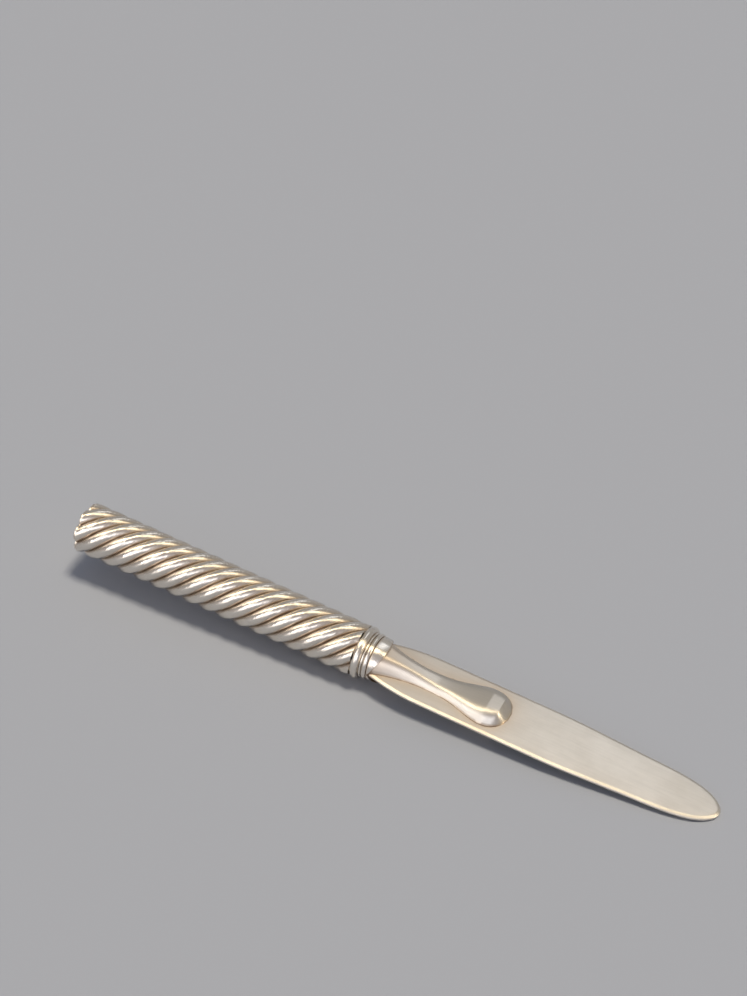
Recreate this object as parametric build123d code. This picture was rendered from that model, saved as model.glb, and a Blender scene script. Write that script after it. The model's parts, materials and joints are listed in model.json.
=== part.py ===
from build123d import *
from math import asin, atan2, cos, degrees, hypot, pi, sin
import os

# A small silver letter opener, in millimetres: a hollow, spirally ribbed handle, a beaded
# collar, a waisted bolster on each face of the blade and a flat, round nosed blade.
# The pieces are drawn along X, with the middle of the rear bead at X = 0 and the tip at +X.
# They are then laid down together as the opener rests on a table, on its rear bead and its tip.

# Blade
BLADE_REACH = 80.3
BLADE_WIDTH = 12.9
BLADE_THICKNESS = 1.2
SHOULDER_LENGTH = 12.0
TAPER_START_FROM_TIP = 38.0
TAPER_MIDDLE_FROM_TIP = 17.3
TAPER_MIDDLE_WIDTH = 11.0
NOSE_FROM_TIP = 6.1
NOSE_WIDTH = 8.84
NOSE_ROUND_FROM_TIP = 2.1
NOSE_ROUND_WIDTH = 5.7
EDGE_BEVEL_WIDTH = 0.6
EDGE_THICKNESS = 0.5

# Tang, the blade's own tongue inside the collar and handle
TANG_SIDE_ROOM = 0.95
TANG_TAPER = 1.0
TANG_LENGTH = 20.0

# Bolsters, one soldered on each face of the blade
BOLSTER_LENGTH = 30.5
BOLSTER_ROOT_INSET = 0.2
BOLSTER_ROOT_DROP = 0.45
WAIST_FROM_ROOT = 12.4
BOLSTER_WAIST_WIDTH = 5.2
BOLSTER_DIP_HEIGHT = 1.4
BOLSTER_NOSE_LENGTH = 5.1
BOLSTER_FLARE_WIDTH = 9.8
BOLSTER_LIP_HEIGHT = 2.5
LIP_LENGTH = 2.7
LIP_RISE_LENGTH = 11.5
LIP_FRONT_LENGTH = 2.1
LIP_FRONT_FALL = 0.8
CREST_FALL = 1.35
ROOT_LEAN = 0.5
FLANK_LEAN = 0.7
ROOT_ROUNDNESS = 5.0
WAIST_ROUNDNESS = 6.0
LIP_ROUNDNESS = 5.0
NOSE_ROUNDNESS = 2.2

# Handle
HANDLE_LENGTH = 68.2
HANDLE_DIAMETER = 11.8
HANDLE_WALL = 0.4
RIB_COUNT = 7
RIB_PITCH = 4.18
RIB_DEPTH = 1.0
CAP_INSET = 0.3
CAP_THICKNESS = 0.6
CAP_EDGE_ROUND = 0.2

# Collar
REAR_BEAD_PROUD = 0.05
REAR_BEAD_WIDTH = 1.9
REED_HEIGHT = 0.65
REED_WIDTH = 0.5
FRONT_BEAD_HEIGHT = 0.75
FRONT_BEAD_WIDTH = 1.25
BEAD_SIDE = 0.1
PLATE_OVERHANG = 0.55
PLATE_THICKNESS = 0.6
MOUTH_REACH = 2.2
MOUTH_PROUD = 0.7
MOUTH_BULGE = 0.1
SLEEVE_WALL = 0.5
SLEEVE_DEPTH = 6.0

# Cement around the tang
CEMENT_PAST_TANG = 1.5

# Clearances: solder between nested rounds, solder between end faces, cement round the tang
FIT_GAP = 0.05
JOINT_GAP = 0.02
TANG_GAP = 0.05

# Places along X that follow from the sizes
rear_bead_back = -REAR_BEAD_WIDTH / 2
rear_bead_front = REAR_BEAD_WIDTH / 2
reed_back = rear_bead_front + JOINT_GAP
reed_front = reed_back + REED_WIDTH
front_bead_back = reed_front + JOINT_GAP
front_bead_front = front_bead_back + FRONT_BEAD_WIDTH
plate_back = front_bead_front + JOINT_GAP
plate_front = plate_back + PLATE_THICKNESS
mouth_front = plate_front + MOUTH_REACH
handle_front = rear_bead_back - JOINT_GAP
handle_back = handle_front - HANDLE_LENGTH
sleeve_back = handle_front - SLEEVE_DEPTH
tang_back = plate_front - TANG_LENGTH
cement_back = tang_back - CEMENT_PAST_TANG
flare_from_root = BOLSTER_LENGTH - BOLSTER_NOSE_LENGTH
front_from_root = BOLSTER_LENGTH - LIP_FRONT_LENGTH
lip_from_root = front_from_root - LIP_LENGTH
dip_from_root = lip_from_root - LIP_RISE_LENGTH

# Radii that follow from the sizes
crest_radius = HANDLE_DIAMETER / 2
groove_radius = crest_radius - RIB_DEPTH
bore_radius = groove_radius - HANDLE_WALL
sleeve_radius = bore_radius - FIT_GAP
sleeve_bore_radius = sleeve_radius - SLEEVE_WALL
ring_bore_radius = sleeve_radius + FIT_GAP
rear_bead_radius = crest_radius + REAR_BEAD_PROUD
reed_radius = ring_bore_radius + REED_HEIGHT
front_bead_radius = ring_bore_radius + FRONT_BEAD_HEIGHT
plate_radius = sleeve_radius + PLATE_OVERHANG
root_radius = plate_radius - BOLSTER_ROOT_INSET
cap_radius = crest_radius - CAP_INSET
tang_half_width = sleeve_bore_radius - TANG_SIDE_ROOM

half_thickness = BLADE_THICKNESS / 2
full_turn = 360


def blade_plan():
    """Outline of the blade from the collar to the tip: one side and its mirror image."""
    tip = BLADE_REACH
    shoulder = (plate_front, root_radius)
    full_width = (plate_front + SHOULDER_LENGTH, BLADE_WIDTH / 2)
    taper_start = (tip - TAPER_START_FROM_TIP, BLADE_WIDTH / 2)
    taper_middle = (tip - TAPER_MIDDLE_FROM_TIP, TAPER_MIDDLE_WIDTH / 2)
    nose = (tip - NOSE_FROM_TIP, NOSE_WIDTH / 2)
    nose_bend = (tip - NOSE_ROUND_FROM_TIP, NOSE_ROUND_WIDTH / 2)
    outward = (SHOULDER_LENGTH / 2, BLADE_WIDTH / 2 - root_radius)
    along = (1, 0)
    across = (0, -1)
    side = [
        Line((plate_front, 0), shoulder),
        Spline(shoulder, full_width, tangents=(outward, along)),
        Line(full_width, taper_start),
        Spline(taper_start, taper_middle, nose, nose_bend, (tip, 0), tangents=(along, across)),
    ]
    other_side = [mirror(edge, about=Plane.XZ) for edge in side]
    return make_face([curve.edge() for curve in side + other_side])


def make_tang():
    """Tongue that narrows from the collar to its square end."""
    root = tang_half_width
    end = tang_half_width - TANG_TAPER
    corners = [(plate_front, root), (tang_back, end), (tang_back, -end), (plate_front, -root)]
    return extrude(make_face(Polyline(*corners, close=True)), half_thickness, both=True)


def bevel_rim(face):
    """Bevel all edges of one face but the straight ones at the collar."""
    rim = [edge for edge in face.edges() if edge.center().X > plate_front + FIT_GAP]
    bevel_depth = (BLADE_THICKNESS - EDGE_THICKNESS) / 2
    return chamfer(rim, EDGE_BEVEL_WIDTH, bevel_depth, reference=face)


def make_blade():
    """Flat blade with its edges bevelled on both faces, and the tang that enters the handle."""
    plank = extrude(blade_plan(), half_thickness, both=True)
    plank = bevel_rim(plank.faces().sort_by(Axis.Z)[-1])
    plank = bevel_rim(plank.faces().sort_by(Axis.Z)[0])
    return plank + make_tang()


def bolster_width(distance):
    """Half width of the bolster at a distance from the collar: root, waist, flare and round nose."""
    waist = BOLSTER_WAIST_WIDTH / 2
    flare = BOLSTER_FLARE_WIDTH / 2
    if distance <= WAIST_FROM_ROOT:
        narrowing = 1 - distance / WAIST_FROM_ROOT
        return waist + (root_radius - waist) * narrowing**2
    if distance <= flare_from_root:
        widening = (distance - WAIST_FROM_ROOT) / (flare_from_root - WAIST_FROM_ROOT)
        return waist + (flare - waist) * widening**3 * (4 - 3 * widening)
    return flare * nose_round(distance)


def bolster_height(distance):
    """Height of the crest: it falls from the collar to a dip, rises to a level lip and ends in a steep front."""
    if distance <= dip_from_root:
        falling = 1 - distance / dip_from_root
        root_height = root_radius - BOLSTER_ROOT_DROP - half_thickness
        return BOLSTER_DIP_HEIGHT + (root_height - BOLSTER_DIP_HEIGHT) * falling**CREST_FALL
    if distance <= lip_from_root:
        rising = (distance - dip_from_root) / LIP_RISE_LENGTH
        return BOLSTER_DIP_HEIGHT + (BOLSTER_LIP_HEIGHT - BOLSTER_DIP_HEIGHT) * rising**2 * (3 - 2 * rising)
    if distance <= front_from_root:
        return BOLSTER_LIP_HEIGHT
    left = (BOLSTER_LENGTH - distance) / LIP_FRONT_LENGTH
    return BOLSTER_LIP_HEIGHT * left**LIP_FRONT_FALL


def nose_round(distance):
    """Full quarter round that closes the bolster past its widest place."""
    share = (distance - flare_from_root) / BOLSTER_NOSE_LENGTH
    return (1 - share**NOSE_ROUNDNESS) ** (1 / NOSE_ROUNDNESS)


def bolster_roundness(distance):
    """How square the crest's edges are: squarest at the waist, softer at the collar and the lip."""
    if distance <= WAIST_FROM_ROOT:
        return ROOT_ROUNDNESS + (WAIST_ROUNDNESS - ROOT_ROUNDNESS) * distance / WAIST_FROM_ROOT
    left = max(0, (flare_from_root - distance) / (flare_from_root - WAIST_FROM_ROOT))
    return LIP_ROUNDNESS + (WAIST_ROUNDNESS - LIP_ROUNDNESS) * left**2


def bolster_inset(distance):
    """How far the flanks lean in from foot to crest: least at the collar, most from the waist on."""
    share = min(1, distance / WAIST_FROM_ROOT)
    return (ROOT_LEAN + (FLANK_LEAN - ROOT_LEAN) * share) * bolster_height(distance)


def bolster_section(distance):
    """Cross section that stands on the blade's face: leaning flanks and a crest with rounded edges."""
    width = bolster_width(distance)
    height = bolster_height(distance)
    inset = bolster_inset(distance)
    roundness = bolster_roundness(distance)
    steps = 12
    x = plate_front + distance
    arch = []
    for step in range(steps + 1):
        angle = pi * step / steps
        up = sin(angle) ** (2 / roundness) if 0 < step < steps else 0
        out = (width - inset) * abs(cos(angle)) ** (2 / roundness) + inset * (1 - up)
        side = 1 if step * 2 < steps else -1
        y = 0 if step * 2 == steps else side * out
        arch.append((x, y, half_thickness + height * up))
    crown = Spline(*arch, tangents=((0, -inset, height), (0, -inset, -height)))
    base = Line(arch[-1], arch[0])
    return make_face(crown + base)


def mouth_edge_radius():
    """Radius of the lips' front edges, a little proud of the bolsters' crests."""
    return half_thickness + bolster_height(MOUTH_REACH) + MOUTH_PROUD


def mouth_wedge(gap, reach):
    """Space between the collar's lips, which the blade and both bolsters fill: it opens towards the tip."""
    back = plate_front + gap
    front = back + reach
    climb = (mouth_edge_radius() - half_thickness) / MOUTH_REACH
    high = half_thickness + climb * reach
    corners = [(back, -half_thickness), (back, half_thickness), (front, high), (front, -high)]
    return extrude(Plane.XZ * make_face(Polyline(*corners, close=True)), BLADE_WIDTH, both=True)


def make_upper_bolster():
    """Waisted boss from under the collar's lip to its round nose, flat where it lies on the blade."""
    steps = 6
    to_waist = [WAIST_FROM_ROOT * step / steps for step in range(steps)]
    widening = flare_from_root - WAIST_FROM_ROOT
    to_flare = [WAIST_FROM_ROOT + widening * step / steps for step in range(steps)]
    quarter = [pi / 2 * step / (steps + 1) for step in range(steps + 1)]
    round_nose = [flare_from_root + BOLSTER_NOSE_LENGTH * sin(angle) for angle in quarter]
    boss = loft([bolster_section(distance) for distance in to_waist + to_flare + round_nose])
    return boss & mouth_wedge(JOINT_GAP, 2 * BOLSTER_LENGTH)


def make_lower_bolster():
    """The same boss on the blade's other face."""
    return mirror(make_upper_bolster(), about=Plane.XY)


def lobed_ring(x, top, valley):
    """Closed ring of round lobes that meet in sharp valleys, one lobe for each rib."""

    def at(radius, turn):
        angle = 2 * pi * turn / RIB_COUNT
        return (x, radius * cos(angle), radius * sin(angle))

    lobes = []
    for rib in range(RIB_COUNT):
        lobes.append(ThreePointArc(at(valley, rib - 0.5), at(top, rib), at(valley, rib + 0.5)))
    return Wire(lobes)


def make_handle():
    """Ribbed tube: round ribs wind left handed round a hollow, with a wall of even thickness."""
    outside = lobed_ring(handle_back, crest_radius, groove_radius)
    inside = lobed_ring(handle_back, crest_radius - HANDLE_WALL, groove_radius - HANDLE_WALL)
    lead = RIB_COUNT * RIB_PITCH
    twist = -full_turn * HANDLE_LENGTH / lead
    return Solid.extrude_linear_with_rotation(
        outside, (handle_back, 0, 0), (HANDLE_LENGTH, 0, 0), twist, [inside]
    )


def disc(back, front, radius):
    """Solid round between two places along X."""
    return extrude(Plane.YZ.offset(back) * Circle(radius), front - back)


def tube(back, front, radius, bore):
    """Ring with square edges between two places along X."""
    return disc(back, front, radius) - disc(back, front, bore)


def make_butt_cap():
    """Flat disc that closes the free end of the handle."""
    cap = disc(handle_back - JOINT_GAP - CAP_THICKNESS, handle_back - JOINT_GAP, cap_radius)
    outer_face = cap.faces().sort_by(Axis.X)[0]
    return fillet(outer_face.edges(), CAP_EDGE_ROUND)


def bead(back, front, top):
    """Ring with a round back, flat where it sits on the sleeve."""
    middle = (back + front) / 2
    half_width = (front - back) / 2
    spring = max(top - half_width, ring_bore_radius + BEAD_SIDE)
    outline = [
        Line((back, ring_bore_radius), (back, spring)),
        ThreePointArc((back, spring), (middle, top), (front, spring)),
        Polyline((front, spring), (front, ring_bore_radius), (back, ring_bore_radius)),
    ]
    return revolve(make_face(Curve() + outline), Axis.X)


def make_sleeve():
    """Tube that carries the beads and reaches into the handle."""
    return tube(sleeve_back, plate_back - JOINT_GAP, sleeve_radius, sleeve_bore_radius)


def make_mouth_plate():
    """Domed mouth of the collar: its lips reach over both bolsters, and a slot lets the tang in."""
    rim = (plate_back, plate_radius)
    edge = (mouth_front, mouth_edge_radius())
    swell = ((rim[0] + edge[0]) / 2, (rim[1] + edge[1]) / 2 + MOUTH_BULGE)
    outline = [
        ThreePointArc(rim, swell, edge),
        Polyline(edge, (mouth_front, 0), (plate_back, 0), rim),
    ]
    dome = revolve(make_face(Curve() + outline), Axis.X)
    return dome - mouth_wedge(0, 2 * MOUTH_REACH) - tang_slot(plate_back - TANG_GAP, plate_front + TANG_GAP)


def tang_slot(back, front):
    """Space for the tang and its clearance between two places along X."""
    length = front - back
    height = BLADE_THICKNESS + 2 * TANG_GAP
    middle = (back + front) / 2
    return Pos(middle, 0, 0) * Box(length, 2 * (tang_half_width + TANG_GAP), height)


def make_cement():
    """Plug that holds the tang: wide in the handle, narrower where it fills the sleeve."""
    in_handle = disc(cement_back, sleeve_back - JOINT_GAP, bore_radius - FIT_GAP)
    in_sleeve = disc(cement_back, plate_back - JOINT_GAP, sleeve_bore_radius - FIT_GAP)
    return in_handle + in_sleeve - tang_slot(tang_back - TANG_GAP, plate_front)


def resting_place():
    """How the opener lies: the rear bead's round back and the blade's underside touch Z = 0."""
    bead_round = REAR_BEAD_WIDTH / 2
    bead_centre = rear_bead_radius - bead_round
    reach = BLADE_REACH - EDGE_BEVEL_WIDTH
    drop = bead_centre - half_thickness
    tilt = atan2(drop, reach) + asin(bead_round / hypot(drop, reach))
    height = bead_centre * cos(tilt) + bead_round
    return Pos(0, 0, height) * Rot(0, degrees(tilt), 0)


pieces = {
    "blade": make_blade(),
    "bolster_upper": make_upper_bolster(),
    "bolster_lower": make_lower_bolster(),
    "handle_tube": make_handle(),
    "butt_cap": make_butt_cap(),
    "cement_plug": make_cement(),
    "collar_sleeve": make_sleeve(),
    "rear_bead": bead(rear_bead_back, rear_bead_front, rear_bead_radius),
    "reed_ring": bead(reed_back, reed_front, reed_radius),
    "front_bead": bead(front_bead_back, front_bead_front, front_bead_radius),
    "mouth_plate": make_mouth_plate(),
}

# Lay the pieces down and put the origin under the middle of the whole opener
laid = {name: resting_place() * piece for name, piece in pieces.items()}
boxes = [piece.bounding_box() for piece in laid.values()]
middle_x = (min(box.min.X for box in boxes) + max(box.max.X for box in boxes)) / 2

os.makedirs("parts", exist_ok=True)
for name, piece in laid.items():
    export_step(Pos(-middle_x, 0, 0) * piece, f"parts/{name}.step")
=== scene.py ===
import json
from math import atan2, cos, exp, hypot, pi, radians, sin

import bmesh
import bpy
import numpy as np
from bpy.props import FloatProperty, FloatVectorProperty, IntProperty, PointerProperty
from bpy.types import Operator, Panel, PropertyGroup
from mathutils import Matrix, Vector


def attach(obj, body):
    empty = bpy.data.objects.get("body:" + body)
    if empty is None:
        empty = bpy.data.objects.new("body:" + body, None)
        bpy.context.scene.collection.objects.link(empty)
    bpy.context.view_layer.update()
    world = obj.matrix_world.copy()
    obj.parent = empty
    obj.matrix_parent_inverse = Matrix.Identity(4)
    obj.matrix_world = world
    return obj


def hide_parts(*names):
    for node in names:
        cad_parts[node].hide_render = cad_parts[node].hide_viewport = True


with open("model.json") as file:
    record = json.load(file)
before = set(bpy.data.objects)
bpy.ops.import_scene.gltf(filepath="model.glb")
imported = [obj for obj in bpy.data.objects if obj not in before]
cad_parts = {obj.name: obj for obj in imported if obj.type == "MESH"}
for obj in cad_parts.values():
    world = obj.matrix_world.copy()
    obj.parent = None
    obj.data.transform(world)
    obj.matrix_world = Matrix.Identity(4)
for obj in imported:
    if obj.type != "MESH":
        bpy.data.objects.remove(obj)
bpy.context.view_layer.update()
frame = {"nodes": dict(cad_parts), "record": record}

bl_info = {
    "name": "Silver letter opener",
    "version": (1, 0, 0),
    "blender": (4, 5, 0),
    "location": "3D View > Sidebar > Letter opener",
    "description": "Dresses a small silver letter opener with a twisted handle",
    "category": "Object",
}

# Edges that bend by more than this are drawn sharp
SHARP_BEND = radians(35)

# The opener lies on its rear bead and its tip, so its own X, from the butt to the tip, slopes down
butt_mount = next(mount for mount in frame["record"]["mounts"] if mount["name"] == "butt_face")
butt_axis = Vector(butt_mount["axis"])
slope = atan2(butt_axis.z, -butt_axis.x)
lay_down = Matrix.Translation(butt_mount["pos_m"]) @ Matrix.Rotation(slope, 4, "Y")


def own_box(node):
    """Lowest and highest corner of a CAD node in the opener's own axes."""
    mesh = frame["nodes"][node].data
    places = np.empty(len(mesh.vertices) * 3)
    mesh.vertices.foreach_get("co", places)
    stand_up = np.array(lay_down.inverted())
    turned = places.reshape(-1, 3) @ stand_up[:3, :3].T + stand_up[:3, 3]
    return Vector(turned.min(0)), Vector(turned.max(0))


def length(label, description, default):
    """A size in metres that a user may change."""
    return FloatProperty(name=label, description=description, default=default, unit="LENGTH", precision=5)


def number(label, description, default):
    """A plain number that a user may change."""
    return FloatProperty(name=label, description=description, default=default)


def colour(label, description, default):
    """A linear colour that a user may change."""
    return FloatVectorProperty(
        name=label, description=description, default=default, subtype="COLOR", min=0, max=1
    )


# Sizes a user would change

class HandleSizes(PropertyGroup):
    """Sizes of the twisted handle and its butt cap."""

    rib_count: IntProperty(name="Ribs", description="Ribs round the handle", default=7, min=3)
    rib_pitch: length("Rib pitch", "Distance from rib to rib along the handle", 0.00418)
    rib_depth: length("Rib depth", "Height of a rib's crest over the grooves", 0.001)
    wall: length("Wall", "Thickness of the silver sheet", 0.0004)
    dent_depth: length("Dents", "Deepest dent left by handling", 0.00008)
    streak_height: length("Streaks", "Height of the draw lines along the ribs", 0.00005)
    wear_height: length("Wear", "Height of the worn patches along the ribs", 0.00012)
    cap_round: length("Cap edge", "Radius of the butt cap's edge", 0.0002)


class CollarSizes(PropertyGroup):
    """Sizes of the collar's rings and mouth."""

    bead_bore: length("Bead bore", "Radius inside the rings, on the sleeve", 0.0045)
    ring_corner: length("Ring corner", "Rounding of a ring's inner corners", 0.0001)
    plate: length("Mouth plate", "Thickness of the mouth behind the blade", 0.0006)
    mouth_edge: length("Mouth edge", "Radius of the front edges of the mouth's lips", 0.004572)
    mouth_bulge: length("Mouth bulge", "Swell of the domed mouth", 0.0001)


class BolsterSizes(PropertyGroup):
    """Sizes of the waisted bosses on both faces of the blade."""

    root_inset: length("Root inset", "How far the root stays inside the mouth's rim", 0.0002)
    reach: length("Length", "From the collar's mouth to the end of the nose", 0.0305)
    waist_from_root: length("Waist place", "Distance of the waist from the collar", 0.0124)
    waist_width: length("Waist width", "Width of the boss at its waist", 0.0052)
    nose_length: length("Nose length", "Length of the round nose past the flare", 0.0051)
    flare_width: length("Flare width", "Width of the boss at its flare", 0.0098)
    root_drop: length("Root drop", "How far the crest starts below the root's round", 0.00045)
    dip_height: length("Dip height", "Height of the crest over the blade at its dip", 0.0014)
    lip_height: length("Lip height", "Height of the lip over the blade", 0.0025)
    lip_length: length("Lip length", "Length of the level lip", 0.0027)
    lip_rise_length: length("Lip rise", "Length over which the crest rises to its lip", 0.0115)
    front_length: length("Lip front", "Length of the steep front under the lip", 0.0021)
    front_fall: number("Front fall", "One is straight, less is fuller", 0.8)
    crest_fall: number("Crest fall", "How soon the crest falls from the collar", 1.35)
    root_lean: number("Root lean", "Lean of the flanks for their height, at the root", 0.5)
    flank_lean: number("Flank lean", "Lean of the flanks from the waist on", 0.7)
    root_round: number("Root roundness", "Two is round, more is squarer", 3.8)
    waist_round: number("Waist roundness", "Two is round, more is squarer", 3.8)
    lip_round: number("Lip roundness", "Two is round, more is squarer", 4.2)
    nose_round: number("Nose roundness", "Two is round, more is squarer", 2.2)


class BladeSizes(PropertyGroup):
    """Sizes of the flat blade and its tang."""

    shoulder_length: length("Shoulder", "Length over which the blade widens from the collar", 0.012)
    taper_length: length("Taper", "Length of the taper that ends in the tip", 0.038)
    taper_middle: length("Taper middle", "Distance of the taper's middle from the tip", 0.0173)
    taper_width: length("Taper width", "Width of the blade at the taper's middle", 0.011)
    nose_start: length("Nose start", "Distance of the nose from the tip", 0.0061)
    nose_width: length("Nose width", "Width where the nose starts", 0.00884)
    nose_bend: length("Nose bend", "Distance of the nose's bend from the tip", 0.0021)
    nose_bend_width: length("Bend width", "Width at the nose's bend", 0.0057)
    crown: length("Crown", "How far the faces fall from the middle to the bevels", 0.00012)
    bevel_width: length("Bevel", "Width of the bevel along the edge", 0.0006)
    edge_thickness: length("Edge", "Thickness left at the edge", 0.0005)
    tang_width: length("Tang width", "Width of the tang at the collar", 0.006)
    tang_taper: length("Tang taper", "How much each side of the tang draws in", 0.001)


class Finish(PropertyGroup):
    """Colours of the metal, its tarnish, the cement and the floor."""

    silver: colour("Silver", "Clean polished silver", (0.87, 0.82, 0.75))
    # Straw coloured toning: partly a real film near joints and in grooves, partly painted warm shade and
    # reflection
    toning_and_shade: colour("Toning", "Straw coloured film near joints", (0.7, 0.56, 0.42))
    tarnish: colour("Tarnish", "Brown tarnish in grooves and joints", (0.16, 0.095, 0.05))
    cement: colour("Cement", "Resin cement round the tang", (0.24, 0.15, 0.09))
    floor: colour("Floor", "Plain pale floor", (0.46, 0.46, 0.46))


class StageSizes(PropertyGroup):
    """Camera and lamps."""

    camera_place: FloatVectorProperty(
        name="Camera", description="Where the camera stands", unit="LENGTH",
        default=(0.1114, -0.2195, 0.3102)
    )
    camera_heading: FloatProperty(
        name="Heading", description="Turn of the view from +Y", default=radians(27.52), subtype="ANGLE"
    )
    camera_pitch: FloatProperty(
        name="Pitch", description="How far the view looks down", default=radians(45.98), subtype="ANGLE"
    )
    camera_lens: number("Lens", "Focal length in millimetres", 66.87)
    lamp_level: FloatProperty(name="Lamps", description="Level of all lamps together", default=1.0, min=0)


# Building blocks

def sizes(name):
    """One of the groups of sizes kept on the scene."""
    return getattr(bpy.context.scene, "opener_" + name)


class Wiring:
    """Adds nodes to a tree and feeds their inputs with values or other nodes' outputs."""

    def __init__(self, tree):
        self.tree = tree

    def feed(self, socket, value):
        if isinstance(value, bpy.types.NodeSocket):
            self.tree.links.new(value, socket)
        else:
            socket.default_value = value

    def node(self, kind, inputs=None, **settings):
        node = self.tree.nodes.new(kind)
        for setting, value in settings.items():
            setattr(node, setting, value)
        for socket, value in (inputs or {}).items():
            self.feed(node.inputs[socket], value)
        return node

    def out(self, kind, inputs=None, **settings):
        return self.node(kind, inputs, **settings).outputs[0]

    def math(self, operation, *values, clamp=False):
        node = self.node("ShaderNodeMath", operation=operation, use_clamp=clamp)
        for socket, value in zip(node.inputs, values):
            self.feed(socket, value)
        return node.outputs[0]

    def vector(self, x=0.0, y=0.0, z=0.0):
        return self.out("ShaderNodeCombineXYZ", {"X": x, "Y": y, "Z": z})

    def split(self, vector):
        return self.node("ShaderNodeSeparateXYZ", {"Vector": vector}).outputs

    def ramp(self, value, low, high, start=0.0, end=1.0):
        inputs = {"Value": value, "From Min": low, "From Max": high, "To Min": start, "To Max": end}
        return self.out("ShaderNodeMapRange", inputs)

    def noise(self, vector, scale, detail, roughness=0.5):
        inputs = {"Vector": vector, "Scale": scale, "Detail": detail, "Roughness": roughness}
        return self.out("ShaderNodeTexNoise", inputs)

    def stretched(self, vector, scale, turn=0.0):
        return self.out("ShaderNodeMapping", {"Vector": vector, "Rotation": (0, 0, turn), "Scale": scale})

    def mix(self, factor, first, second):
        node = self.node("ShaderNodeMix", data_type="RGBA")
        self.feed(node.inputs[0], factor)
        self.feed(node.inputs[6], first)
        self.feed(node.inputs[7], second)
        return node.outputs[2]

    def attribute(self, name):
        return self.node("ShaderNodeAttribute", attribute_name=name).outputs["Fac"]

    def bump(self, height, distance=1.0):
        return self.out("ShaderNodeBump", {"Height": height, "Strength": 1.0, "Distance": distance})

    def effect(self, maker, inputs):
        """Outputs of a shared effect, which has its maker's name and is built the first time it is used."""
        group = bpy.data.node_groups.get(maker.__name__) or maker()
        return self.node("ShaderNodeGroup", inputs, node_tree=group).outputs


def opaque(rgb):
    """A colour with full alpha."""
    return (*rgb, 1.0)


def new_object(name, data):
    """An object in the scene that shows a mesh, a lamp or a camera."""
    made = bpy.data.objects.new(name, data)
    bpy.context.scene.collection.objects.link(made)
    return made


def finished_piece(name, mesh, material, slot, *nodes):
    """Lays a mesh that was made in the opener's own axes down as the piece that stands for CAD nodes."""
    mesh.transform(lay_down)
    mesh.materials.clear()
    mesh.materials.append(material)
    mesh.shade_smooth()
    mesh.set_sharp_from_angle(angle=SHARP_BEND)
    piece = new_object(name, mesh)
    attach(piece, "root")
    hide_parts(*nodes)


def mesh_from(name, points, faces):
    """A merged mesh whose faces point outwards."""
    same_place = 1e-7
    build = bmesh.new()
    verts = [build.verts.new(point) for point in points]
    for face in faces:
        build.faces.new([verts[corner] for corner in face])
    bmesh.ops.remove_doubles(build, verts=build.verts, dist=same_place)
    bmesh.ops.dissolve_degenerate(build, edges=build.edges, dist=same_place)
    bmesh.ops.recalc_face_normals(build, faces=build.faces)
    mesh = bpy.data.meshes.new(name)
    build.to_mesh(mesh)
    build.free()
    return mesh


def strip_faces(rows, count, ring=True, loop=False):
    """Faces between rows of points: a ring closes each row, a loop joins the last row to the first."""
    faces = []
    for row in range(rows if loop else rows - 1):
        here = row * count
        there = (row + 1) % rows * count
        for i in range(count if ring else count - 1):
            j = (i + 1) % count
            faces.append((here + i, there + i, there + j, here + j))
    return faces


def round_rim(steps):
    """Points round a circle of radius one, as (y, z) pairs."""
    return [(cos(2 * pi * step / steps), sin(2 * pi * step / steps)) for step in range(steps)]


def lathe(name, outline, rim):
    """A closed outline of (x, radius) points carried round the opener's axis along a rim of radius one."""
    points = []
    for y, z in rim:
        points += [(x, radius * y, radius * z) for x, radius in outline]
    return mesh_from(name, points, strip_faces(len(rim), len(outline), loop=True))


def add_mask(mesh, name, rule):
    """Stores a value from nought to one on each point of a mesh, by a rule on its place."""
    mask = mesh.attributes.new(name, "FLOAT", "POINT")
    for vertex in mesh.vertices:
        mask.data[vertex.index].value = min(1, max(0, rule(vertex.co)))


def clamped_spline(points, first, last, steps):
    """Points spread over each span of the smooth curve through some points, with set end directions."""
    knots = np.array(points, float)
    chords = np.linalg.norm(np.diff(knots, axis=0), axis=1)
    count = len(knots)
    system = np.eye(count)
    right = np.zeros((count, 2))
    right[0] = np.array(first) / hypot(*first)
    right[-1] = np.array(last) / hypot(*last)
    for i in range(1, count - 1):
        before, after = chords[i - 1], chords[i]
        system[i, i - 1 : i + 2] = after, 2 * (before + after), before
        arriving = after * (knots[i] - knots[i - 1]) / before
        leaving = before * (knots[i + 1] - knots[i]) / after
        right[i] = 3 * (arriving + leaving)
    slopes = np.linalg.solve(system, right)
    curve = []
    for i, chord in enumerate(chords):
        for step in range(steps):
            t = step / steps
            near = (1 + 2 * t) * (1 - t) ** 2 * knots[i] + t * (1 - t) ** 2 * chord * slopes[i]
            far = t * t * (3 - 2 * t) * knots[i + 1] + t * t * (t - 1) * chord * slopes[i + 1]
            curve.append(tuple(near + far))
    return curve


# Shared effects of the finishes

def effect_group(name, inputs, outputs):
    """An empty shader group that takes a place and named values, and its wiring, inputs and outputs."""
    group = bpy.data.node_groups.new(name, "ShaderNodeTree")
    group.interface.new_socket("Vector", in_out="INPUT", socket_type="NodeSocketVector")
    for label, default in inputs.items():
        socket = group.interface.new_socket(label, in_out="INPUT", socket_type="NodeSocketFloat")
        socket.default_value = default
    for label in outputs:
        group.interface.new_socket(label, in_out="OUTPUT", socket_type="NodeSocketFloat")
    wiring = Wiring(group)
    return wiring, wiring.node("NodeGroupInput").outputs, wiring.node("NodeGroupOutput").inputs


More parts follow.
